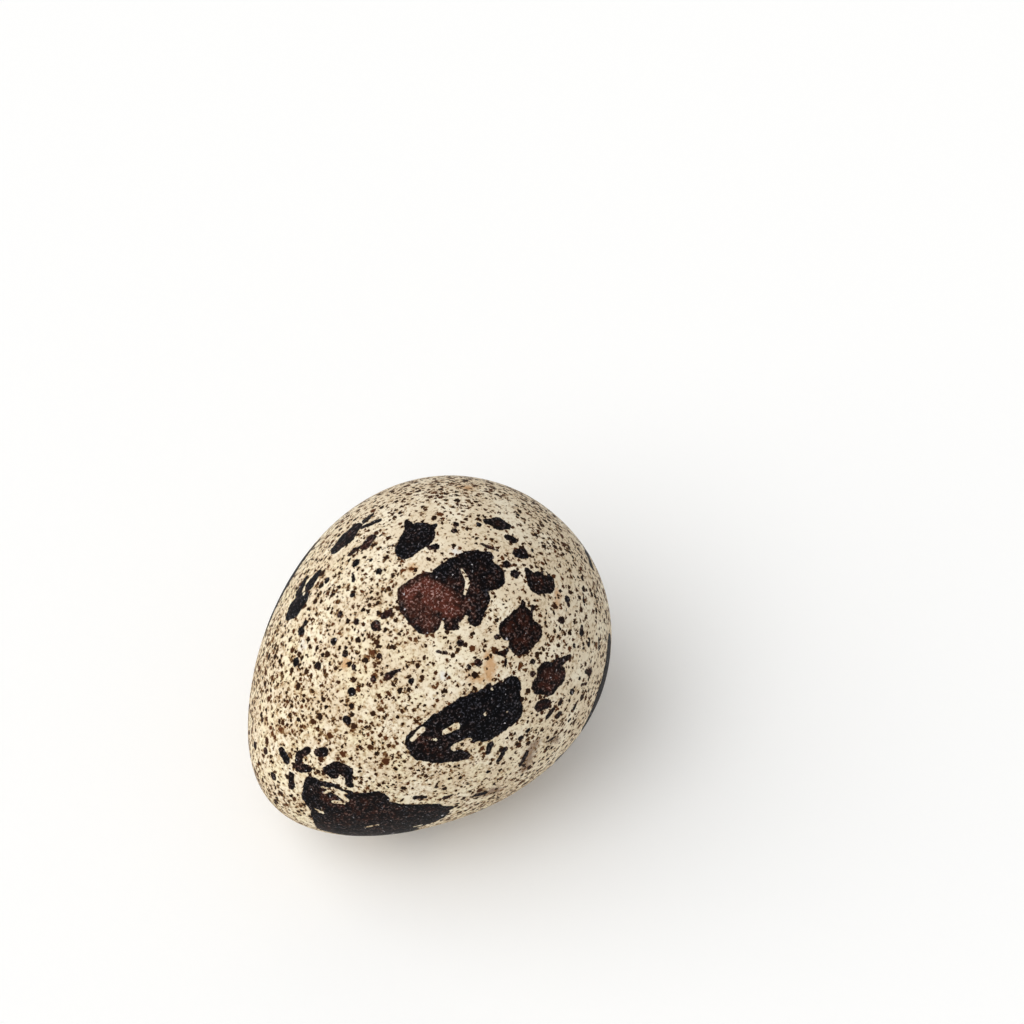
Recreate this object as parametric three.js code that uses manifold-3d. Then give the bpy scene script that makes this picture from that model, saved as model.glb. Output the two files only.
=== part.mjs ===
// A quail egg lying on its side, the way it comes to rest on a table: one solid.
//
// Millimetres, +Z up. The origin is the middle of the small flat spot that the egg rests on, so the
// table is the plane z = 0. +X runs level towards the blunt end. The blunt half is the fatter one and
// lifts the axis higher off the table, so the axis climbs towards +X. The egg mirrors in the plane
// y = 0.

import * as THREE from "three";
import { mergeVertices } from "three/addons/utils/BufferGeometryUtils.js";
import Module from "manifold-3d";

// Driving dimensions.
const EGG_LENGTH = 32.5; // pole to pole
const EGG_DIAMETER = 26; // widest girth
const TAPER = 0.18; // how much fuller the blunt half is than the pointed half
const POLE_SLIMMING = 0.044; // how much both ends are drawn in from a plain oval
const SPOT_DEPTH = 0.15; // what the flat spot takes off the round underside
const SHELL_COLOUR = 0xe6dcc2; // cream between the speckles
const SHELL_ROUGHNESS = 0.55;

// How finely the shell is faceted.
const STEPS_ALONG = 36;
const STEPS_AROUND = 64;

const HALF_LENGTH = EGG_LENGTH / 2;

// The outline is an oval whose radius is scaled by a quadratic in the station along the axis.
// u is the station as a share of the half length: 1 at the blunt pole and -1 at the pointed pole.
const fullness = (u) => 1 + TAPER * u - POLE_SLIMMING * u * u;
const plumpness = (u) => Math.sqrt(1 - u * u) * fullness(u);

// The lowest point of a function with one dip between low and high, by ternary search.
function lowest(f, low, high) {
  for (let round = 0; round < 100; round++) {
    const a = low + (high - low) / 3;
    const b = high - (high - low) / 3;
    if (f(a) < f(b)) high = b;
    else low = a;
  }
  return (low + high) / 2;
}

// The half girth that gives the widest place the stated diameter.
const widest = lowest((u) => -plumpness(u), -0.5, 0.5);
const HALF_GIRTH = EGG_DIAMETER / 2 / plumpness(widest);
const radiusAt = (u) => HALF_GIRTH * plumpness(u);

// Where the centre of mass lies along the axis, from the middle of the length. It is the first moment
// of the squared radius over its sum, with (1 - u^2) fullness^2 integrated term by term from -1 to 1.
function centreOfMass() {
  const c1 = TAPER;
  const c2 = -POLE_SLIMMING;
  const moment = (2 * c1) / 15 + (2 * c1 * c2) / 35;
  const sum = 1 / 3 + (c1 * c1 + 2 * c2) / 15 + (c2 * c2) / 35;
  return (HALF_LENGTH * moment) / sum;
}

// An egg lies on the place of its side that is nearest its centre of mass.
const balance = centreOfMass();
const restStation = lowest(
  (u) => Math.hypot(HALF_LENGTH * u - balance, radiusAt(u)),
  -0.5,
  0.5,
);
const restAlong = HALF_LENGTH * restStation;
const restRadius = radiusAt(restStation);
// The line from there to the centre of mass stands upright, so it gives the tilt of the long axis.
const restTilt = Math.atan2(balance - restAlong, restRadius);
const balanceHeight = Math.hypot(balance - restAlong, restRadius);

// The outline from the pointed pole to the blunt pole, both on the axis, in steps of equal angle.
function outline() {
  const points = [];
  for (let i = 0; i <= STEPS_ALONG; i++) {
    const u = -Math.cos((Math.PI * i) / STEPS_ALONG);
    const onAxis = i === 0 || i === STEPS_ALONG;
    points.push(new THREE.Vector2(onAxis ? 0 : radiusAt(u), HALF_LENGTH * u));
  }
  return points;
}

// The whole round egg, turned from the lathe's upright axis to lie along +X with its tilt, with the
// rest point on the plane z = 0 at the origin.
function roundEgg() {
  const egg = new THREE.LatheGeometry(outline(), STEPS_AROUND);
  egg.rotateZ(-Math.PI / 2);
  egg.translate(-balance, 0, 0);
  egg.rotateY(-restTilt);
  egg.translate(0, 0, balanceHeight);
  return egg;
}

// The slab of table that the flat spot is pressed by: its top is SPOT_DEPTH up the round egg.
function tableSlab() {
  const slab = new THREE.BoxGeometry(EGG_LENGTH, EGG_DIAMETER, EGG_DIAMETER);
  slab.translate(0, 0, SPOT_DEPTH - EGG_DIAMETER / 2);
  return slab;
}

const wasm = await Module();
wasm.setup();

function toSolid(geometry) {
  const bare = geometry.clone();
  bare.deleteAttribute("normal");
  bare.deleteAttribute("uv");
  const merged = mergeVertices(bare, 1e-4);
  return new wasm.Manifold(
    new wasm.Mesh({
      numProp: 3,
      vertProperties: merged.attributes.position.array,
      triVerts: new Uint32Array(merged.index.array),
    }),
  );
}

function toGeometry(solid) {
  const mesh = solid.getMesh();
  const geometry = new THREE.BufferGeometry();
  geometry.setAttribute("position", new THREE.BufferAttribute(mesh.vertProperties, 3));
  geometry.setIndex(new THREE.BufferAttribute(mesh.triVerts, 1));
  geometry.computeVertexNormals();
  return geometry;
}

function eggMesh() {
  const geometry = toGeometry(toSolid(roundEgg()).subtract(toSolid(tableSlab())));
  const shell = new THREE.MeshStandardMaterial({
    color: SHELL_COLOUR,
    roughness: SHELL_ROUGHNESS,
    metalness: 0,
  });
  const egg = new THREE.Mesh(geometry, shell);
  egg.name = "egg";
  egg.position.z = -SPOT_DEPTH;
  return egg;
}

const quailEgg = new THREE.Group();
quailEgg.add(eggMesh());

export default quailEgg;
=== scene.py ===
import math
import random

import bmesh
import bpy
import numpy as np
from mathutils import Euler, Matrix, Vector, noise


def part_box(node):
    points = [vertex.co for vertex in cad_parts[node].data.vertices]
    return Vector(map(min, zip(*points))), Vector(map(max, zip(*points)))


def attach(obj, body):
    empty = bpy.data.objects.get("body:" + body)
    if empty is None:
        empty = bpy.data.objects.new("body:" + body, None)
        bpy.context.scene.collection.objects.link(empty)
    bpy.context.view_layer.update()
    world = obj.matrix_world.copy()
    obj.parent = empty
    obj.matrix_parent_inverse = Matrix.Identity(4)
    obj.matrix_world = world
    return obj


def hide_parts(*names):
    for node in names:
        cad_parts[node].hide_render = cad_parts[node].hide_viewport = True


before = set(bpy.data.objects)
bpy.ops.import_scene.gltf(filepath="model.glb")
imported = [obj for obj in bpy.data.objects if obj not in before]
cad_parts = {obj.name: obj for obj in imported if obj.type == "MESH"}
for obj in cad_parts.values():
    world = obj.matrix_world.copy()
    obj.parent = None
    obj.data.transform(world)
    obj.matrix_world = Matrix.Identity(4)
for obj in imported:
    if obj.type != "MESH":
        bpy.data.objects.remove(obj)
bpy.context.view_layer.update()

# A quail egg lying on its side. Lengths are in millimetres in the egg's own frame until the finished
# shell is scaled to metres: X runs along the egg from the middle of its length to the blunt pole, Z
# points to the top of the shell, and a girth angle is counted from there, down the -Y side.

# The shell's driving dimensions, the same as the CAD solid's.
EGG_LENGTH = 32.5
EGG_DIAMETER = 26.0
TAPER = 0.18  # how much fuller the blunt half is
POLE_SLIMMING = 0.044  # how much both ends are drawn in from a plain oval
SPOT_DEPTH = 0.15  # what the flat spot takes off the round underside
MM = 0.001

# The ball that the shell is shaped from is a cube cut this often across each side, then rounded. It puts
# the corners about 0.16 mm apart, so that the marks' edges are smooth.
CUTS = 127


# ---------------------------------------------------------------- the shape of the egg


def fullness(u):
    """How full the egg is at a share u of the half length: 1 is the blunt pole, -1 the pointed one."""
    return 1 + TAPER * u - POLE_SLIMMING * u * u


HALF_LENGTH = EGG_LENGTH / 2
shares = np.linspace(-1, 1, 20001)
plumpness = np.sqrt(1 - shares**2) * fullness(shares)
HALF_GIRTH = EGG_DIAMETER / 2 / plumpness.max()

# The egg lies on the place of its side that is nearest its centre of mass.
stations = HALF_LENGTH * shares
radii = HALF_GIRTH * plumpness
BALANCE = (stations * radii**2).sum() / (radii**2).sum()
reach = np.hypot(stations - BALANCE, radii)
lowest = np.where(np.abs(shares) < 0.5, reach, np.inf).argmin()
TILT = math.atan2(BALANCE - stations[lowest], radii[lowest])
BALANCE_HEIGHT = reach[lowest] - SPOT_DEPTH


def shell_point(station, girth):
    """The point on the shell at a station in millimetres along the egg and a girth angle in degrees."""
    u = station / HALF_LENGTH
    radius = HALF_GIRTH * math.sqrt(1 - u * u) * fullness(u)
    turn = math.radians(girth)
    return np.array((station, -radius * math.sin(turn), radius * math.cos(turn)))


# ---------------------------------------------------------------- the pigment marks
# Each mark is its warmth, from 0, blue-black, to 1, rust brown, and then the strokes that it is laid
# down in. Each stroke is a run of dabs: the station along the egg in millimetres, the girth angle in
# degrees and the stroke's half width there in millimetres.

MARKS = [
    # On top, towards the blunt end: the leaf and the small ovals beside it.
    (0.1, [(3.9, -11.5, 1.0), (5.3, -12.8, 1.4)], [(5.6, -12.4, 1.1), (7.0, -12, 0.12)]),
    (0.3, [(5.4, -18, 0.5), (5.7, -22, 0.15)], [(3.8, -16, 0.12), (2.6, -18.5, 0.1)]),
    (0.3, [(10.1, -1.6, 0.3), (10.7, 1.8, 0.72), (11.1, 4.6, 0.4)]),
    (0.3, [(10.4, 9.5, 0.3), (10.6, 12, 0.34)], [(9.4, -2, 0.26)], [(12.6, 1.4, 0.2)]),
    (0.4, [(5.6, -4.2, 0.28), (5.2, -5.4, 0.25)], [(7.6, -5.5, 0.25)], [(8.1, -7.5, 0.25)]),
    # The largest mark: a dark half towards the blunt end, a maroon half towards the pointed end.
    (0.15, [(4.1, 5.2, 0.8), (5.3, 6.2, 0.85), (6.9, 9.4, 1.05)], [(7.9, 10.8, 0.5)]),
    (0.25, [(6.3, 12, 1.8), (6.9, 17, 1.25)], [(8.6, 18, 0.35)]),
    (0.35, [(5.0, 14, 1.9), (4.9, 20, 1.0), (3.55, 24.3, 0.62)]),
    (0.85, [(1.3, 2.2, 1.0), (2.8, 3.4, 0.95)], [(2.6, 8, 1.6), (2.9, 15.5, 1.4)]),
    (0.65, [(0.9, 6, 1.15), (0.8, 13, 1.2), (0.6, 15.5, 0.55)], [(3.6, 18, 1.0)]),
    (0.5, [(1.8, 20, 0.5), (2.1, 22.5, 0.2)]),
    (1.0, [(8.3, 5.5, 0.12), (8.6, 8.5, 0.2), (8.9, 11.5, 0.1)]),
    # Next down the -Y side: a wedge, a diamond and a ragged square.
    (0.4, [(9.5, 25.4, 0.3), (9.3, 30, 0.8)], [(9.4, 31.5, 0.95), (10.0, 33.8, 0.95)]),
    (0.4, [(9.9, 17.4, 0.42), (10.3, 19.2, 0.5)], [(8.5, 22.8, 0.4)], [(11.1, 20.5, 0.2)]),
    (0.5, [(5.0, 35.6, 0.9), (6.5, 36.2, 0.9)], [(5.0, 41.8, 1.0), (6.3, 42.4, 0.95)]),
    (0.4, [(6.9, 34, 0.4), (7.4, 32.2, 0.15)], [(7.7, 36.4, 0.26)], [(3.9, 34.2, 0.22)]),
    (0.4, [(3.0, 38, 0.15), (3.4, 40, 0.22), (3.9, 40.2, 0.15)], [(10.5, 46, 0.3)]),
    (0.4, [(3.3, 42, 0.1), (2.8, 44, 0.1)], [(-0.3, 23.6, 0.12), (0.1, 26, 0.16)]),
    (0.6, [(5.1, 57.4, 0.95), (5.7, 62, 0.95)], [(4.1, 59, 0.8), (4.7, 63, 0.75)]),
    (0.6, [(6.4, 58.6, 0.45), (7.5, 61.5, 0.2)], [(3.1, 65.5, 0.5), (3.6, 67, 0.5)]),
    (0.6, [(4.8, 50.2, 0.25)], [(4.2, 53.5, 0.28)], [(4.7, 72, 0.28)], [(4.1, 76, 0.28)]),
    (0.5, [(6.0, 73.5, 0.3)], [(3.1, 72, 0.22), (3.8, 71.5, 0.25)], [(8.9, 49, 0.33)]),
    # Below them, towards the pointed end: the long black mark with its tail.
    (0.0, [(0.9, 53, 1.65), (-1.5, 51.3, 2.15)], [(0.7, 57, 1.5), (-1.4, 58.5, 1.0)]),
    (0.1, [(-2.0, 50, 2.0), (-3.9, 47.6, 1.6)], [(2.2, 51, 0.9)]),
    (0.3, [(-3.9, 47.6, 1.6), (-5.9, 45.6, 1.1)], [(-6.1, 49, 1.0), (-5.1, 55.4, 1.0), (-3.8, 62.6, 0.4)]),
    (0.3, [(-2.3, 67, 0.25), (-1.8, 64.6, 0.3)], [(0.65, 35.2, 0.2)], [(-3.3, 24.9, 0.25)]),
    (0.5, [(-2.0, 74, 0.2), (-1.1, 70.6, 0.25)], [(0.4, 71, 0.25)], [(1.2, 70.5, 0.25)]),
    # The broad mark that wraps under the pointed end.
    (0.2, [(-13.6, 32, 0.7), (-14.4, 42, 0.75), (-14.2, 62, 1.0)], [(-13.2, 34, 0.3), (-12.6, 42, 0.25)]),
    (0.2, [(-12.6, 42, 0.2), (-12.3, 47, 0.13), (-12.0, 52, 0.25)]),
    (0.55, [(-13.6, 46, 0.9), (-13.4, 54, 0.9)]),
    (0.3, [(-14.6, 66, 0.8), (-14.5, 95, 1.1)]),
    (0.35, [(-12.7, 63, 1.6), (-10.9, 63, 1.0)], [(-13.4, 76, 1.7), (-10.8, 76, 1.5)]),
    (0.25, [(-12.6, 95, 2.1), (-10.9, 92, 1.7)], [(-12.2, 112, 1.6)], [(-10.2, 80, 1.4), (-8.1, 85, 1.0)]),
    (0.3, [(-8.0, 86, 0.85), (-6.9, 89, 0.4)], [(-11.2, 38, 0.35), (-11.7, 46, 0.3)]),
    (0.2, [(-9.8, 96, 1.5), (-8.2, 94, 1.1), (-7.3, 93, 0.4)]),
    (0.15, [(-14.1, 101, 0.9), (-12.4, 112, 1.5), (-10.4, 109, 1.4)]),
    # Small dark marks over the pointed half.
    (0.5, [(-12.2, 12.5, 0.28), (-12.9, 10.0, 0.35), (-13.5, 15.5, 0.4), (-13.1, 21.0, 0.38)]),
    (0.35, [(-11.8, 18.5, 0.36), (-11.5, 20.6, 0.46)]),
    (0.35, [(-12.2, 30.5, 0.4), (-11.5, 33, 0.6), (-11.2, 38, 0.5)], [(-12.0, 34, 0.55)]),
    (0.45, [(-14.2, 14, 0.25), (-14.8, 22, 0.28)], [(-13.5, -4, 0.35), (-13.7, 3, 0.38)]),
    (0.45, [(-15.1, -4, 0.35)]),
    (0.7, [(-14.3, -42, 0.35)], [(-14.2, -22, 0.3)], [(-12.7, -33, 0.25)]),
    (0.3, [(-7.0, 11, 0.35)], [(-8.7, 18, 0.38)], [(-8.1, -21, 0.4)], [(-7.3, -9, 0.33)]),
    (0.3, [(-6.1, -27, 0.38)], [(-5.2, -9, 0.3)], [(-5.3, -1.5, 0.3)], [(-5.6, 5, 0.25)]),
    (0.7, [(-4.3, 17.5, 0.3), (-3.3, 19, 0.12)], [(-3.4, -14, 0.28)], [(1.4, 27, 0.34)]),
    (0.8, [(-2.2, 1.2, 0.42)], [(-1.2, 1.0, 0.33), (-0.7, 1.6, 0.27)], [(1.4, 36.2, 0.32)]),
    (0.7, [(0.8, 45.4, 0.35)], [(-3.7, 9.8, 0.27)], [(-5.2, 14, 0.26)], [(-3.0, -6, 0.28)]),
    # High on the +Y side.
    (0.3, [(0.6, -38, 0.6), (1.8, -37.5, 0.95), (2.8, -38, 0.65)], [(3.1, -37, 0.3)]),
    (0.35, [(3.2, -35, 0.22), (4.4, -31.5, 0.26)], [(3.8, -37.5, 0.32), (4.5, -37.5, 0.25)]),
    (0.3, [(0.5, -23.3, 0.38)], [(1.1, -12.8, 0.31)], [(1.4, -18.9, 0.2)], [(-1.6, -14.7, 0.27)]),
    (0.3, [(-1.9, -29.6, 0.28)], [(-0.7, -18.4, 0.18), (-0.35, -21, 0.1)], [(-5.4, -27, 0.27)]),
    (0.7, [(2.1, -25.8, 0.48), (2.8, -26.5, 0.45)]),
    (0.7, [(1.9, -27, 0.12), (1.2, -28.5, 0.28), (0.8, -28.8, 0.22)]),
    (0.1, [(-1.8, -37, 0.35), (-2.9, -37.5, 0.55)], [(-2.6, -43, 0.3), (-3.7, -42, 0.5)]),
    (0.0, [(-4.1, -36.5, 0.75), (-4.9, -38.5, 1.0), (-5.5, -40, 0.6)]),
    # Lower on both sides: long black marks that lie along the egg, and small ones near them. The first two,
    # along the +Y side, are partly pigment and partly a painted shadow: the dark band that a neighbouring egg
    # casts there.
    (0.1, [(0.6, -60, 0.4), (-2.6, -63, 1.1), (-5.6, -64, 0.8), (-7.4, -62, 0.3)]),
    (0.2, [(-1.8, -66, 0.9), (-2.4, -69, 0.8)], [(-4.4, -67, 1.0), (-5.2, -70, 0.8)], [(-3.4, -77, 0.4)]),
    (0.1, [(11.6, 92, 1.0), (8.8, 100, 1.7), (6.4, 105, 1.0)]),
    (0.3, [(9.6, 104, 1.2), (9.9, 108, 0.9)], [(7.2, 108, 1.1), (6.4, 113, 0.8)], [(8.6, 121, 0.4)]),
    (0.95, [(8.3, 77, 0.35), (8.0, 74, 0.2)], [(7.4, 78, 0.2), (7.0, 76, 0.12)], [(8.9, 74, 0.15)]),
    (0.45, [(10.3, 48, 0.2)], [(9.0, 48.5, 0.18)], [(10.0, 59.5, 0.2), (9.6, 61, 0.28)], [(8.4, 60.5, 0.22)]),
    (0.5, [(10.8, 74, 0.12), (10.2, 77, 0.16)], [(9.0, 66, 0.17)], [(11.6, 55, 0.18)], [(7.2, 72.5, 0.18)]),
    # Low on the -Y side: small streaks among faint brown places.
    (0.45, [(-8.6, 71, 0.26), (-8.0, 73, 0.2)], [(-6.8, 79, 0.24), (-6.3, 79, 0.18)], [(-6.9, 70, 0.18)]),
    (0.5, [(-4.7, 87, 0.24), (-4.0, 89, 0.26)], [(-3.2, 90, 0.16)], [(-0.7, 84, 0.2), (0.2, 80, 0.24)]),
    (0.5, [(-3.1, 76, 0.2)], [(2.0, 83, 0.12), (2.9, 85, 0.14)], [(1.9, 88, 0.15)], [(-0.2, 90, 0.18)]),
    (0.5, [(4.6, 84, 0.2)], [(5.4, 81, 0.22), (6.0, 80, 0.15)], [(7.4, 83, 0.18)], [(9.6, 68, 0.24)]),
]

# Pale places in the marks, in the same strokes: most where a mark has flaked and the ground shows through it,
# and the last four small pale dots inside the black marks, in the ground's colour.
CHIPS = [
    [(5.6, 8.7, 0.12), (5.25, 13.3, 0.17), (4.4, 15.8, 0.12)],
    [(-6.2, 43, 0.14), (-5.1, 42, 0.22)],
    [(-4.0, 48.4, 0.2), (-3.0, 49.2, 0.3)],
    [(-5.2, 47, 0.06), (-4.8, 49, 0.1)],
    [(-4.1, 56.4, 0.3), (-3.0, 57.4, 0.3)],
    [(-13.4, 43, 0.1), (-12.75, 43, 0.2), (-12.65, 48, 0.27), (-12.55, 56, 0.16)],
    [(-13.35, 53, 0.14), (-12.85, 56.5, 0.2)],
    [(-14.6, 52, 0.06), (-14.45, 60, 0.12)],
    [(-14.25, 57, 0.05), (-14.35, 63, 0.1)],
    [(-12.5, 89, 0.12), (-11.8, 88, 0.14)],
    [(-9.6, 101, 0.1), (-9.1, 101, 0.12)],
    [(10.5, 31.4, 0.2)],
    [(3.1, 22.0, 0.18)],
    [(-3.7, -37.8, 0.16)],
    [(-0.7, 52.5, 0.15)],
    [(0.9, 46.6, 0.1)],
    [(0.7, 57.5, 0.1)],
]

# What lies in the ground itself, in the same strokes: tan stains, faint purple-brown marks that were
# covered by later layers of shell, and chalky blooms.
STAINS = {
    "tan_gap": [
        [(2.4, 36.5, 0.35), (2.1, 39.5, 0.5), (1.3, 42.5, 0.45)],
        [(1.3, 42.5, 0.4), (0.5, 40, 0.3), (0.1, 37, 0.25)],
        [(-5.8, 1, 0.5)],
        [(11.5, -27, 0.6)],
        [(3.0, -4.5, 0.35)],
        [(10.2, 40.5, 0.3), (9.4, 43.5, 0.35)],
    ],
    "faded_gap": [
        [(-0.5, 88, 0.6), (0.4, 81, 0.7), (1.3, 79, 0.5)],
        [(-4.4, 88, 0.6), (-3.3, 91, 0.7)],
        [(2.4, 84, 0.4), (3.0, 88, 0.4)],
        [(8.3, 76, 0.5)],
        [(5.5, 128, 0.6), (6.3, 134, 0.5)],
        [(-6.1, 187, 0.8)],
        [(8.2, 182, 0.5)],
        [(-1.2, 272, 0.6), (-0.4, 266, 0.5)],
        [(5.9, 301, 0.5)],
    ],
    "bloom_gap": [
        [(6.3, 2, 0.45)],
        [(-1.3, 31.5, 0.45)],
        [(-6.9, -22, 0.4)],
        [(3.2, 141, 0.5)],
        [(-5.4, 226, 0.4)],
        [(9.9, 248, 0.5)],
    ],
}

# Where few specks fell: pale places between the large marks, in the same strokes.
SPARSE = [
    [(-2.6, 30, 1.6), (1.6, 27, 1.6)],
    [(2.6, 41, 1.2), (3.2, 33, 1.0)],
    [(7.6, 26, 1.1)],
    [(7.4, -2, 1.2), (9.2, 4, 0.6)],
    [(-6.2, 158, 2.0), (-2.2, 164, 1.6)],
    [(3.2, 222, 1.8)],
    [(5.2, 270, 1.5), (8.4, 262, 1.2)],
]

# The marks on the rest of the shell, in the same sizes: the station, the girth angle, the length and
# width in millimetres, the angle in degrees between the mark's length and the egg's axis, and warmth.
REST_OF_MARKS = [
    (3.5, 112, 3.2, 2.4, 35, 0.1),
    (-3.0, 122, 2.4, 1.5, 80, 0.5),
    (-7.4, 146, 3.6, 2.5, 10, 0.1),
    (6.8, 150, 5.0, 3.0, 70, 0.75),
    (0.6, 166, 2.0, 1.5, 40, 0.3),
    (11.9, 158, 2.0, 1.5, 15, 0.1),
    (-12.2, 172, 2.3, 1.7, 60, 0.4),
    (4.2, 197, 3.6, 2.7, 20, 0.15),
    (-3.9, 208, 5.8, 3.4, 35, 0.6),
    (9.6, 214, 2.6, 1.8, 75, 0.5),
    (1.0, 232, 2.3, 1.6, 10, 0.7),
    (-9.4, 238, 2.6, 1.6, 50, 0.2),
    (6.4, 249, 4.4, 3.1, 65, 0.75),
    (-3.6, 257, 2.8, 1.9, 25, 0.3),
    (12.7, 262, 1.8, 1.3, 40, 0.3),
    (2.2, 276, 2.0, 1.4, 85, 0.5),
    (-12.6, 282, 1.9, 1.3, 30, 0.1),
    (8.3, 290, 1.8, 1.1, 20, 0.3),
    (15.2, 60, 1.4, 1.0, 30, 0.35),
    (14.6, 200, 1.7, 1.2, 60, 0.2),
]
LAST_STATION = 15.6  # no drawn-out mark reaches nearer to a pole than this


def irregular_mark(station, girth, length, width, heading, rng):
    """Four overlapping strokes that make one irregular mark, and the drops that fell beside it."""
    along = np.array((math.cos(math.radians(heading)), math.sin(math.radians(heading))))
    across = np.array((-along[1], along[0]))
    degrees_per_mm = 360 / (2 * math.pi * abs(shell_point(station, 0)[2]))
    strokes = []
    for part in (-0.5, -0.1, 0.3, 0.6):
        middle = part * length / 2 * along + rng.uniform(-0.25, 0.25) * width * across
        half = rng.uniform(0.1, 0.3) * length * along + rng.uniform(-0.3, 0.3) * width * across
        half_width = rng.uniform(0.3, 0.46) * width * (1 - abs(part) * 0.6)
        stroke = []
        for end, share in ((middle - half, 1.0), (middle + half, rng.uniform(0.5, 0.9))):
            reached = max(-LAST_STATION, min(LAST_STATION, station + end[0]))
            stroke.append((reached, girth + end[1] * degrees_per_mm, half_width * share))
        strokes.append(stroke)
    for _ in range(rng.randint(2, 4)):
        way = rng.uniform(0, 2 * math.pi)
        off = rng.uniform(0.55, 0.9) * (length * math.cos(way) * along + length * math.sin(way) * across)
        reached = max(-LAST_STATION, min(LAST_STATION, station + off[0]))
        strokes.append([(reached, girth + off[1] * degrees_per_mm, rng.uniform(0.15, 0.4))])
    return strokes


def gap_to_stroke(points, stroke):
    """How far each point is outside a stroke, in millimetres: less than zero inside."""
    gap = np.full(len(points), np.inf)
    ends = stroke if len(stroke) > 1 else stroke * 2
    for (s0, g0, w0), (s1, g1, w1) in zip(ends, ends[1:]):
        start, end = shell_point(s0, g0), shell_point(s1, g1)
        run = end - start
        share = np.clip((points - start) @ run / max(run @ run, 1e-9), 0, 1)
        away = np.linalg.norm(points - start - share[:, None] * run, axis=1)
        gap = np.minimum(gap, away - (w0 + (w1 - w0) * share))
    return gap


FAR_OFF = 5.0  # the gap of a place with no mark nearer than this


def paint_marks(points):
    """What the finish reads at each point: its gaps to the marks and the rest, and the marks' warmth."""
    rng = random.Random(7)
    marks = [(mark[0], mark[1:]) for mark in MARKS]
    for station, girth, length, width, heading, warmth in REST_OF_MARKS:
        marks.append((warmth, irregular_mark(station, girth, length, width, heading, rng)))
    pigment = np.full(len(points), FAR_OFF)
    warmth_sum = np.zeros(len(points))
    weight_sum = np.full(len(points), 1e-6)
    for warmth, strokes in marks:
        for stroke in strokes:
            gap = gap_to_stroke(points, stroke)
            # Where marks of different warmth meet, they blend over about a quarter of a millimetre.
            weight = np.exp(-4 * gap)
            warmth_sum += warmth * weight
            weight_sum += weight
            pigment = np.minimum(pigment, gap)
    fields = {"pigment_gap": pigment, "warmth": warmth_sum / weight_sum}
    for name, strokes in {"chip_gap": CHIPS, "sparse_gap": SPARSE, **STAINS}.items():
        fields[name] = np.min([gap_to_stroke(points, stroke) for stroke in strokes], axis=0)
    return fields


# ---------------------------------------------------------------- the shell


def lay_map(cube):
    """The finish's own map: the six sides of the cube side by side, three across and two up."""
    chart = cube.loops.layers.uv.new("OFBake")
    fit = 0.492  # leaves a thin gap between neighbouring sides
    for face in cube.faces:
        middle = face.calc_center_median()
        side = max(range(3), key=lambda axis: abs(middle[axis]))
        facing = math.copysign(1, middle[side])
        for corner in face.loops:
            across = facing * corner.vert.co[(side + 1) % 3]
            up = corner.vert.co[(side + 2) % 3]
            corner[chart].uv = ((side + 0.5 + fit * across) / 3, (0.5 + facing / 2 + 0.5 + fit * up) / 2)


def round_ball():
    """A unit ball of even four-sided faces, with no poles."""
    ball = bmesh.new()
    bmesh.ops.create_cube(ball, size=2)
    bmesh.ops.subdivide_edges(ball, edges=ball.edges, cuts=CUTS, use_grid_fill=True)
    lay_map(ball)
    for vertex in ball.verts:
        # Steps of equal angle keep the faces even up to the cube's corners.
        vertex.co = Vector([math.tan(c * math.pi / 4) for c in vertex.co]).normalized()
    return ball


def shape_shell(shell):
    """Turns a unit ball into the egg, in its own frame."""
    for vertex in shell.verts:
        x, y, u = vertex.co
        girth = HALF_GIRTH * fullness(u)
        place = Vector((HALF_LENGTH * u, y * girth, -x * girth))
        # No egg is quite even: it swells and sinks by a few hundredths of a millimetre.
        swell = 0.05 * noise.noise(place * 0.16) + 0.015 * noise.noise(place * 0.6)
        vertex.co = place + swell * place.normalized()


def lay_down(shell):
    """Tilts the egg on to its resting place, presses the flat spot and scales it to metres."""
    bmesh.ops.translate(shell, verts=shell.verts, vec=(-BALANCE, 0, 0))
    bmesh.ops.rotate(shell, verts=shell.verts, cent=(0, 0, 0), matrix=Matrix.Rotation(-TILT, 3, "Y"))
    bmesh.ops.translate(shell, verts=shell.verts, vec=(0, 0, BALANCE_HEIGHT))
    for vertex in shell.verts:
        vertex.co.z = max(vertex.co.z, 0)
    bmesh.ops.scale(shell, verts=shell.verts, vec=(MM, MM, MM))


def make_shell():
    """The one piece: the closed shell, carrying the marks as values at its points."""
    shell = round_ball()
    shape_shell(shell)
    fields = paint_marks(np.array([vertex.co for vertex in shell.verts]))
    lay_down(shell)
    bmesh.ops.recalc_face_normals(shell, faces=shell.faces)
    mesh = bpy.data.meshes.new("eggshell")
    shell.to_mesh(mesh)
    shell.free()
    mesh.shade_smooth()
    for name, values in fields.items():
        attribute = mesh.attributes.new(name, "FLOAT", "POINT")
        attribute.data.foreach_set("value", values.astype(np.float32))
    eggshell = bpy.data.objects.new("eggshell", mesh)
    bpy.context.scene.collection.objects.link(eggshell)
    return eggshell


# ---------------------------------------------------------------- finishes


def linear(hex_colour):
    """An sRGB hex colour as linear red, green, blue and alpha."""
    channels = [int(hex_colour[i : i + 2], 16) / 255 for i in (1, 3, 5)]
    return [c / 12.92 if c <= 0.04045 else ((c + 0.055) / 1.055) ** 2.4 for c in channels] + [1]


def add(tree, kind, feeds=None, out=0, stops=(), **settings):
    """Adds a node with its settings, links, input values and ramp stops, and gives one output."""
    made = tree.nodes.new("ShaderNode" + kind)
    for name, value in settings.items():
        setattr(made, name, value)
    for number, (place, tone) in enumerate(stops):
        ramp = made.color_ramp.elements
        stop = ramp[number] if number < 2 else ramp.new(place)
        stop.position = place
        stop.color = linear(tone)
    for key, value in (feeds or {}).items():
        if isinstance(value, bpy.types.NodeSocket):
            tree.links.new(value, made.inputs[key])
        else:
            made.inputs[key].default_value = value
    return made.outputs[out] if len(made.outputs) else made


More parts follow.
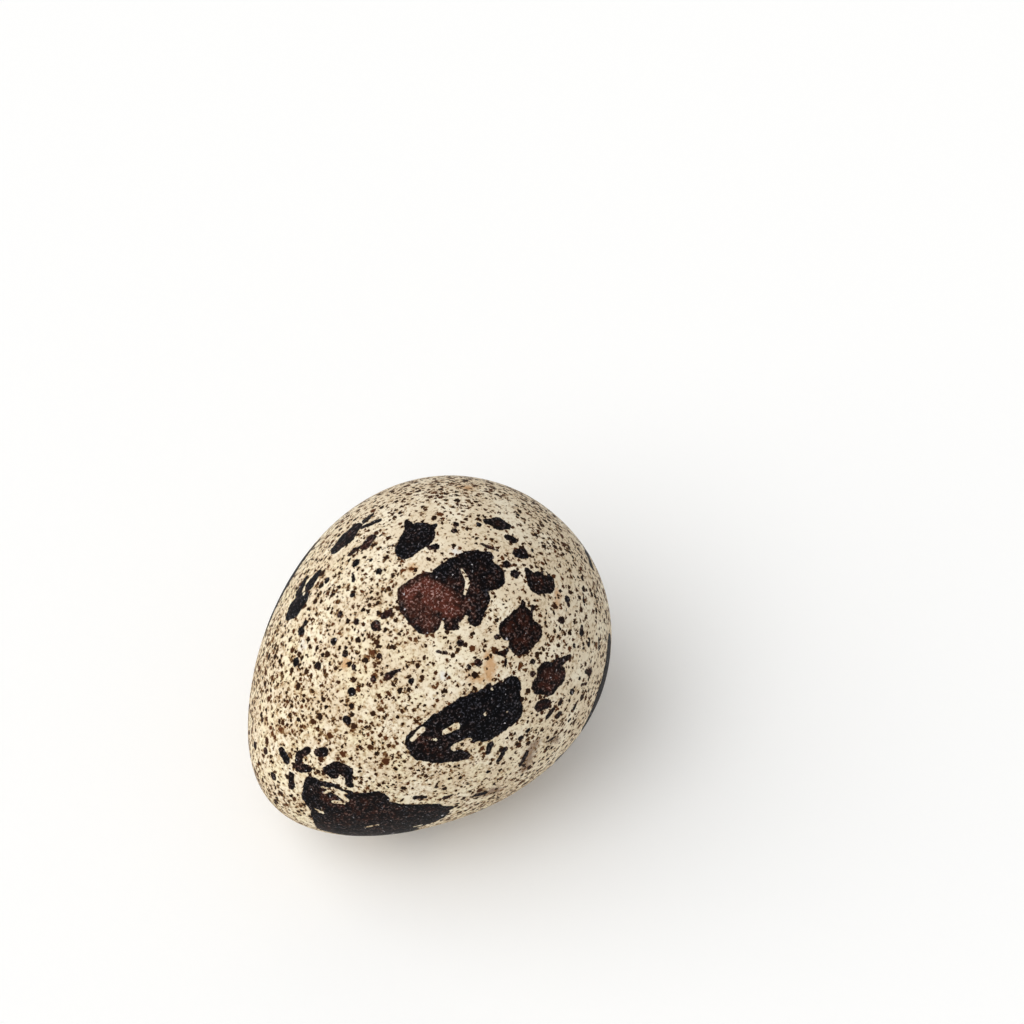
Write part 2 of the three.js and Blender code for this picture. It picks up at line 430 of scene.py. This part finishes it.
# Settings that many nodes share. A colour mix takes its share at 0, the under colour at 6 and the over
# colour at 7; a mix of plain values takes the two values at 2 and 3. The finish works in millimetres,
# so a noise with features about 0.3 mm across has a scale of 1 / 0.3.
SOFT_STEP = {"interpolation_type": "SMOOTHSTEP"}
COLOURS = {"out": 2, "data_type": "RGBA"}

# Specks: the spacing of their centres, the smallest and largest radius, about what share of the centres
# carry one, and how strongly a tan halo has bled round them. All lengths in millimetres.
SPECKS = [
    {"spacing": 0.31, "small": 0.06, "large": 0.13, "share": 0.60, "halo": 0.4},
    {"spacing": 0.44, "small": 0.12, "large": 0.20, "share": 0.95, "halo": 0.6},
    {"spacing": 0.62, "small": 0.14, "large": 0.28, "share": 0.90, "halo": 0.7},
    {"spacing": 1.40, "small": 0.20, "large": 0.38, "share": 0.32, "halo": 0.8},
]
SPECK_TONES = [(0.0, "#1a0e07"), (0.45, "#2c190c"), (0.8, "#432512"), (1.0, "#5b331a")]

# Pigment: its tone where it lies thick, and where it is dusty, a grey that is partly its own dust and partly
# painted sheen and sparkle; both from blue-black to rust brown.
THICK_TONES = [(0.0, "#040406"), (0.35, "#0e0706"), (0.7, "#351910"), (1.0, "#562a20")]
DUST_AND_SHEEN_TONES = [(0.0, "#424249"), (0.35, "#564743"), (0.7, "#8a6a61"), (1.0, "#b8938b")]

# Painted highlights: pale glints painted into the pigment's colour where grains would catch the light. Their
# spacing and radius in millimetres, the share of them that do, and how strongly.
PAINTED_GLINTS = [(0.34, 0.075, 0.20, 0.7), (0.85, 0.130, 0.22, 1.0)]


def shell_places(tree):
    """Millimetres in the egg's own frame, and the same places with the wander of wet pigment."""
    place = add(tree, "TexCoord", out=3)
    shift = (BALANCE - BALANCE_HEIGHT * math.sin(TILT), 0, -BALANCE_HEIGHT * math.cos(TILT))
    feeds = {"Vector": place, "Location": shift, "Rotation": (0, TILT, 0), "Scale": (1 / MM,) * 3}
    shell_mm = add(tree, "Mapping", feeds)
    feeds = {"Vector": shell_mm, "Scale": 1 / 0.34, "Detail": 4, "Roughness": 0.62}
    wander = add(tree, "TexNoise", feeds, out=1)
    wander = add(tree, "VectorMath", {0: wander, 1: (0.5, 0.5, 0.5)}, operation="SUBTRACT")
    wander = add(tree, "VectorMath", {0: wander, "Scale": 0.5}, operation="SCALE")
    return shell_mm, add(tree, "VectorMath", {0: shell_mm, 1: wander})


def chalky_ground(tree, shell_mm, pointed):
    """Cream calcite: paler in patches, warmer towards the pointed end, and mottled finely all over."""
    feeds = {"Vector": shell_mm, "Scale": 1 / 2.6, "Detail": 3}
    pale = add(tree, "TexNoise", feeds)
    pale = add(tree, "MapRange", {"Value": pale, "From Min": 0.42, "From Max": 0.66}, **SOFT_STEP)
    ground = add(tree, "Mix", {0: pale, 6: linear("#e5d5b9"), 7: linear("#f2e7cf")}, **COLOURS)

    warm = add(tree, "TexNoise", {"Vector": shell_mm, "Scale": 1 / 1.7, "Detail": 3})
    warm = add(tree, "MapRange", {"Value": warm, "From Min": 0.4, "From Max": 0.7}, **SOFT_STEP)
    warm = add(tree, "Math", {0: warm, 1: pointed}, operation="MULTIPLY")
    ground = add(tree, "Mix", {0: warm, 6: ground, 7: linear("#efe3c1")}, **COLOURS)

    mottle = add(tree, "TexNoise", {"Vector": shell_mm, "Scale": 1 / 0.3, "Detail": 4})
    mottle = add(tree, "Math", {0: pointed, 1: 0.03, 2: mottle}, operation="MULTIPLY_ADD")
    mottle = add(tree, "MapRange", {"Value": mottle, "From Min": 0.48, "From Max": 0.74}, **SOFT_STEP)
    return add(tree, "Mix", {0: mottle, 6: ground, 7: linear("#b8a17f")}, **COLOURS)


def add_stains(tree, colour, shell_mm, pointed):
    """Tan, faded and chalky places that lie in the ground, and a rusty blush near the pointed end."""
    blush = add(tree, "TexNoise", {"Vector": shell_mm, "Scale": 1 / 0.55, "Detail": 4, "Roughness": 0.6})
    blush = add(tree, "MapRange", {"Value": blush, "From Min": 0.56, "From Max": 0.72}, **SOFT_STEP)
    share = add(tree, "Math", {0: pointed, 1: 0.25, 2: 0.22}, operation="MULTIPLY_ADD")
    blush = add(tree, "Math", {0: blush, 1: share}, operation="MULTIPLY")
    colour = add(tree, "Mix", {0: blush, 6: colour, 7: linear("#c09b70")}, **COLOURS)

    edge = add(tree, "TexNoise", {"Vector": shell_mm, "Scale": 1 / 0.5, "Detail": 5, "Roughness": 0.7})
    for name, tone, strength in (
        ("tan_gap", "#c5935f", 0.8),
        ("faded_gap", "#6f4f3f", 0.75),
        ("bloom_gap", "#e6e3de", 0.8),
    ):
        gap = add(tree, "Attribute", out=2, attribute_name=name)
        gap = add(tree, "Math", {0: edge, 1: 1.6, 2: gap}, operation="MULTIPLY_ADD")
        feeds = {"Value": gap, "From Min": 1.05, "From Max": 0.4, "To Max": strength}
        share = add(tree, "MapRange", feeds, **SOFT_STEP)
        colour = add(tree, "Mix", {0: share, 6: colour, 7: linear(tone)}, **COLOURS)
    return colour


def add_specks(tree, colour, ragged_mm, fray, crowded, pointed, size):
    """One size of frayed specks, each with its own radius and tone, and a tan halo about some."""
    centre = add(tree, "TexVoronoi", {"Vector": ragged_mm, "Scale": 1 / size["spacing"]})
    lots = add(tree, "SeparateColor", {0: centre.node.outputs["Color"]}).node.outputs
    grown = add(tree, "Math", {0: lots[0], 1: 1.4}, operation="POWER")
    spread = size["large"] - size["small"]
    radius = add(tree, "Math", {0: grown, 1: spread, 2: size["small"]}, operation="MULTIPLY_ADD")
    depth = add(tree, "Math", {0: centre, 1: -size["spacing"], 2: radius}, operation="MULTIPLY_ADD")
    depth = add(tree, "Math", {0: depth, 1: fray}, operation="ADD")

    share = size["share"]
    share = add(tree, "Math", {0: crowded, 1: 0.95 * share, 2: 0.38 * share}, operation="MULTIPLY_ADD")
    present = add(tree, "Math", {0: lots[1], 1: share}, operation="LESS_THAN")

    halo = add(tree, "Math", {0: pointed, 1: 0.35, 2: 0.25}, operation="MULTIPLY_ADD")
    halo = add(tree, "Math", {0: present, 1: halo}, operation="MULTIPLY")
    bled = {"Value": depth, "From Min": -0.16, "From Max": 0.04, "To Max": size["halo"]}
    bled = add(tree, "MapRange", bled, **SOFT_STEP)
    halo = add(tree, "Math", {0: bled, 1: halo}, operation="MULTIPLY")
    colour = add(tree, "Mix", {0: halo, 6: colour, 7: linear("#b89465")}, **COLOURS)

    thick = add(tree, "MapRange", {"Value": depth, "From Min": -0.01, "From Max": 0.05}, **SOFT_STEP)
    tone = add(tree, "ValToRGB", {"Fac": lots[2]}, stops=SPECK_TONES)
    tone = add(tree, "Mix", {0: thick, 6: linear("#5e3812"), 7: tone}, **COLOURS)
    speck = add(tree, "MapRange", {"Value": depth, "From Min": -0.02, "From Max": 0.02}, **SOFT_STEP)
    speck = add(tree, "Math", {0: speck, 1: present}, operation="MULTIPLY")
    return add(tree, "Mix", {0: speck, 6: colour, 7: tone}, **COLOURS)


def add_flecks(tree, colour, shell_mm, crowded):
    """Splashes too small and ragged to have a centre, rusty where they are thin."""
    feeds = {"Vector": shell_mm, "Scale": 1 / 0.42, "Detail": 3, "Roughness": 0.6}
    splash = add(tree, "TexNoise", feeds)
    splash = add(tree, "Math", {0: crowded, 1: 0.05, 2: splash}, operation="MULTIPLY_ADD")
    thin = {"Value": splash, "From Min": 0.59, "From Max": 0.66, "To Max": 0.6}
    thin = add(tree, "MapRange", thin, **SOFT_STEP)
    colour = add(tree, "Mix", {0: thin, 6: colour, 7: linear("#ad865a")}, **COLOURS)
    thick = add(tree, "MapRange", {"Value": splash, "From Min": 0.655, "From Max": 0.70}, **SOFT_STEP)
    return add(tree, "Mix", {0: thick, 6: colour, 7: linear("#2c1910")}, **COLOURS)


def pigment_share(tree, shell_mm):
    """How far inside a mark a place is, in millimetres below zero, and whether pigment covers it."""
    ragged = add(tree, "TexNoise", {"Vector": shell_mm, "Scale": 1 / 0.42, "Detail": 5, "Roughness": 0.66})
    ragged = add(tree, "Math", {0: ragged, 1: 0.5}, operation="SUBTRACT")
    gap = add(tree, "Attribute", out=2, attribute_name="pigment_gap")
    gap = add(tree, "Math", {0: ragged, 1: 0.5, 2: gap}, operation="MULTIPLY_ADD")
    chip = add(tree, "Attribute", out=2, attribute_name="chip_gap")
    chip = add(tree, "Math", {0: ragged, 1: 0.3, 2: chip}, operation="MULTIPLY_ADD")
    covered = add(tree, "MapRange", {"Value": gap, "From Min": 0.03, "From Max": -0.03}, **SOFT_STEP)
    unchipped = add(tree, "MapRange", {"Value": chip, "From Min": -0.03, "From Max": 0.04}, **SOFT_STEP)
    return gap, add(tree, "Math", {0: covered, 1: unchipped}, operation="MULTIPLY")


def pigment_tone(tree, shell_mm, ragged_mm, gap):
    """The powdery pigment of the marks: blue-black to rust, dusty in grains that are partly painted sheen,
    with painted glints and a dark rim.
    """
    warmth = add(tree, "Attribute", out=2, attribute_name="warmth")
    core = {"Value": gap, "From Min": -0.1, "From Max": -0.8, "To Min": 0.55, "To Max": 1.05}
    core = add(tree, "MapRange", core, **SOFT_STEP)
    warmth = add(tree, "Math", {0: warmth, 1: core}, operation="MULTIPLY")
    patchy = add(tree, "TexNoise", {"Vector": shell_mm, "Scale": 1 / 0.6, "Detail": 5, "Roughness": 0.75})
    patchy = add(tree, "Math", {0: patchy, 1: 0.5}, operation="SUBTRACT")
    warmth = add(tree, "Math", {0: patchy, 1: 2.0, 2: warmth}, operation="MULTIPLY_ADD")

    # Dusty grains in the pigment: partly its own dust, partly painted sheen and sparkle.
    dust_and_sheen = add(tree, "TexNoise", {"Vector": shell_mm, "Scale": 1 / 0.19, "Detail": 2, "Roughness": 0.6})
    dust_and_sheen = add(tree, "MapRange", {"Value": dust_and_sheen, "From Min": 0.52, "From Max": 0.71}, **SOFT_STEP)
    thick = add(tree, "ValToRGB", {"Fac": warmth}, stops=THICK_TONES)
    dust_and_sheen_tone = add(tree, "ValToRGB", {"Fac": warmth}, stops=DUST_AND_SHEEN_TONES)
    tone = add(tree, "Mix", {0: dust_and_sheen, 6: thick, 7: dust_and_sheen_tone}, **COLOURS)

    # Painted highlights: pale glints painted on some grains of the pigment.
    for spacing, radius, share, strength in PAINTED_GLINTS:
        grain = add(tree, "TexVoronoi", {"Vector": ragged_mm, "Scale": 1 / spacing})
        lots = add(tree, "SeparateColor", {0: grain.node.outputs["Color"]}).node.outputs
        chosen = add(tree, "Math", {0: lots[0], 1: share}, operation="LESS_THAN")
        chosen = add(tree, "Math", {0: chosen, 1: lots[1]}, operation="MULTIPLY")
        reach = radius / spacing
        feeds = {"Value": grain, "From Min": reach, "From Max": reach / 2, "To Max": strength}
        painted_glint = add(tree, "MapRange", feeds, **SOFT_STEP)
        painted_glint = add(tree, "Math", {0: painted_glint, 1: chosen}, operation="MULTIPLY")
        tone = add(tree, "Mix", {0: painted_glint, 6: tone, 7: linear("#d2cdd0")}, **COLOURS)
    inner = add(tree, "MapRange", {"Value": gap, "From Min": 0.0, "From Max": -0.08}, **SOFT_STEP)
    return add(tree, "Mix", {0: inner, 6: linear("#2e170f"), 7: tone}, **COLOURS)


def speckled_eggshell():
    """Quail eggshell: calcite under a dry cuticle, cream, with brown and black pigment laid on last.

    The cuticle scatters light, so it looks matte with a broad faint sheen. The pigment is a fine
    powdery layer with ragged edges; the slight glitter and sheen of the marks are painted into their colour.
    """
    material = bpy.data.materials.new("speckled_eggshell")
    material.use_nodes = True
    tree = material.node_tree
    tree.nodes.clear()

    shell_mm, ragged_mm = shell_places(tree)
    station = add(tree, "SeparateXYZ", {0: shell_mm})
    pointed = add(tree, "MapRange", {"Value": station, "From Min": 9.0, "From Max": -9.0}, **SOFT_STEP)
    crowded = add(tree, "TexNoise", {"Vector": shell_mm, "Scale": 1 / 2.2, "Detail": 3})
    crowded = add(tree, "MapRange", {"Value": crowded, "From Min": 0.35, "From Max": 0.65}, **SOFT_STEP)
    crowded = add(tree, "Mix", {0: 0.35, 2: crowded, 3: pointed})
    clear = add(tree, "Attribute", out=2, attribute_name="pigment_gap")
    clear = add(tree, "MapRange", {"Value": clear, "From Min": 0.3, "From Max": 3.6}, **SOFT_STEP)
    crowded = add(tree, "Mix", {0: 0.5, 2: crowded, 3: clear})
    sparse = add(tree, "Attribute", out=2, attribute_name="sparse_gap")
    sparse = add(tree, "MapRange", {"Value": sparse, "From Min": -0.6, "From Max": 0.9}, **SOFT_STEP)
    crowded = add(tree, "Math", {0: crowded, 1: sparse}, operation="MULTIPLY")

    colour = chalky_ground(tree, shell_mm, pointed)
    colour = add_stains(tree, colour, shell_mm, pointed)
    colour = add_flecks(tree, colour, shell_mm, crowded)
    fray = add(tree, "TexNoise", {"Vector": shell_mm, "Scale": 1 / 0.16, "Detail": 2})
    fray = add(tree, "Math", {0: fray, 1: 0.22, 2: -0.11}, operation="MULTIPLY_ADD")
    for size in SPECKS:
        colour = add_specks(tree, colour, ragged_mm, fray, crowded, pointed, size)
    gap, mark = pigment_share(tree, shell_mm)
    tone = pigment_tone(tree, shell_mm, ragged_mm, gap)
    colour = add(tree, "Mix", {0: mark, 6: colour, 7: tone}, **COLOURS)

    # Pores and grain as relief, about 0.02 mm deep, and coarser where the pigment's powder lies.
    pores = add(tree, "TexNoise", {"Vector": shell_mm, "Scale": 1 / 0.12, "Detail": 3})
    swells = add(tree, "TexNoise", {"Vector": shell_mm, "Scale": 1 / 0.5, "Detail": 4})
    coarse = add(tree, "Math", {0: mark, 1: 0.8, 2: 0.3}, operation="MULTIPLY_ADD")
    grain = add(tree, "Math", {0: pores, 1: coarse, 2: swells}, operation="MULTIPLY_ADD")
    relief = add(tree, "Bump", {"Strength": 0.7, "Distance": 0.03 * MM, "Height": grain})

    # The cuticle is unevenly worn, and so powdery that it shines far less than bare calcite would.
    worn = add(tree, "TexNoise", {"Vector": shell_mm, "Scale": 1 / 0.8, "Detail": 3})
    worn = add(tree, "Math", {0: worn, 1: 0.2, 2: 0.5}, operation="MULTIPLY_ADD")
    shell = {"Base Color": colour, "Roughness": worn, "IOR": 1.5, "Specular IOR Level": 0.06}
    surface = add(tree, "BsdfPrincipled", {**shell, "Normal": relief})
    add(tree, "OutputMaterial", {"Surface": surface})
    return material


def painted_table():
    """Matt white paint on board: even and pale, with no pattern of its own."""
    material = bpy.data.materials.new("painted_table")
    material.use_nodes = True
    tree = material.node_tree
    tree.nodes.clear()
    paint = add(tree, "BsdfPrincipled", {"Base Color": linear("#fdfdfc"), "Roughness": 0.8, "IOR": 1.45})
    add(tree, "OutputMaterial", {"Surface": paint})
    return material


# ---------------------------------------------------------------- the studio


TABLE_RADIUS = 2.2  # metres
TABLE_GAP = 0.02 * MM  # keeps the table's top just clear of the flat spot

# The camera looks down on the egg from beside its pointed end, and aims past it to the upper right.
VIEW_AZIMUTH = -42.9  # degrees from -Y towards +X
VIEW_ELEVATION = 58.0
VIEW_DISTANCE = 0.454  # metres, from the middle of the egg
AIM_ABOVE = 1.50  # degrees past the middle of the egg
AIM_RIGHT = 0.915

# How bright the walls look, and how strongly they light the table and the egg.
WALLS_SEEN = 1.0
WALLS_LIGHT = 0.47


def make_table():
    """A round table top, wide enough that its edge is out of sight."""
    disc = bmesh.new()
    bmesh.ops.create_circle(disc, cap_ends=True, segments=96, radius=TABLE_RADIUS)
    bmesh.ops.translate(disc, verts=disc.verts, vec=(0, 0, -TABLE_GAP))
    mesh = bpy.data.meshes.new("table")
    disc.to_mesh(mesh)
    disc.free()
    mesh.materials.append(painted_table())
    table = bpy.data.objects.new("table", mesh)
    bpy.context.scene.collection.objects.link(table)


def direction(azimuth, elevation):
    """From the egg towards a light or the camera. Azimuth 0 is -Y and 90 is +X; degrees."""
    a, e = math.radians(azimuth), math.radians(elevation)
    return Vector((math.sin(a) * math.cos(e), -math.cos(a) * math.cos(e), math.sin(e)))


def make_light(name, azimuth, elevation, spread, power):
    """A soft light, even over the whole table: power is in watts per square metre, spread in degrees."""
    lamp = bpy.data.lights.new(name, "SUN")
    lamp.angle = math.radians(spread)
    lamp.energy = power
    light = bpy.data.objects.new(name, lamp)
    light.rotation_euler = direction(azimuth, elevation).to_track_quat("Z", "Y").to_euler()
    bpy.context.scene.collection.objects.link(light)


def make_camera(egg_middle):
    """A long lens, so that the egg keeps its true outline."""
    lens = bpy.data.cameras.new("camera")
    lens.lens = 200
    lens.clip_start = 0.01
    camera = bpy.data.objects.new("camera", lens)
    back = direction(VIEW_AZIMUTH, VIEW_ELEVATION)
    camera.location = egg_middle + back * VIEW_DISTANCE
    turned = Euler((math.radians(AIM_ABOVE), math.radians(-AIM_RIGHT), 0)).to_quaternion()
    camera.rotation_mode = "QUATERNION"
    camera.rotation_quaternion = back.to_track_quat("Z", "Y") @ turned
    bpy.context.scene.collection.objects.link(camera)
    bpy.context.scene.camera = camera


def make_walls():
    """White walls all round: they look as bright as the table, and light it less than that."""
    world = bpy.data.worlds.new("studio")
    world.use_nodes = True
    tree = world.node_tree
    tree.nodes.clear()
    seen = add(tree, "LightPath")
    feeds = {0: seen, 1: WALLS_SEEN - WALLS_LIGHT, 2: WALLS_LIGHT}
    strength = add(tree, "Math", feeds, operation="MULTIPLY_ADD")
    walls = add(tree, "Background", {"Color": linear("#ffffff"), "Strength": strength})
    add(tree, "OutputWorld", {"Surface": walls})
    bpy.context.scene.world = world


low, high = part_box("egg")
make_camera((low + high) / 2)
make_table()
make_light("window", azimuth=-127, elevation=46, spread=72, power=1.45)
make_light("fill", azimuth=-80, elevation=58, spread=50, power=0.80)
make_walls()
bpy.context.scene.view_settings.view_transform = "Standard"

eggshell = make_shell()
eggshell.data.materials.append(speckled_eggshell())
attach(eggshell, "root")
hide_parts("egg")
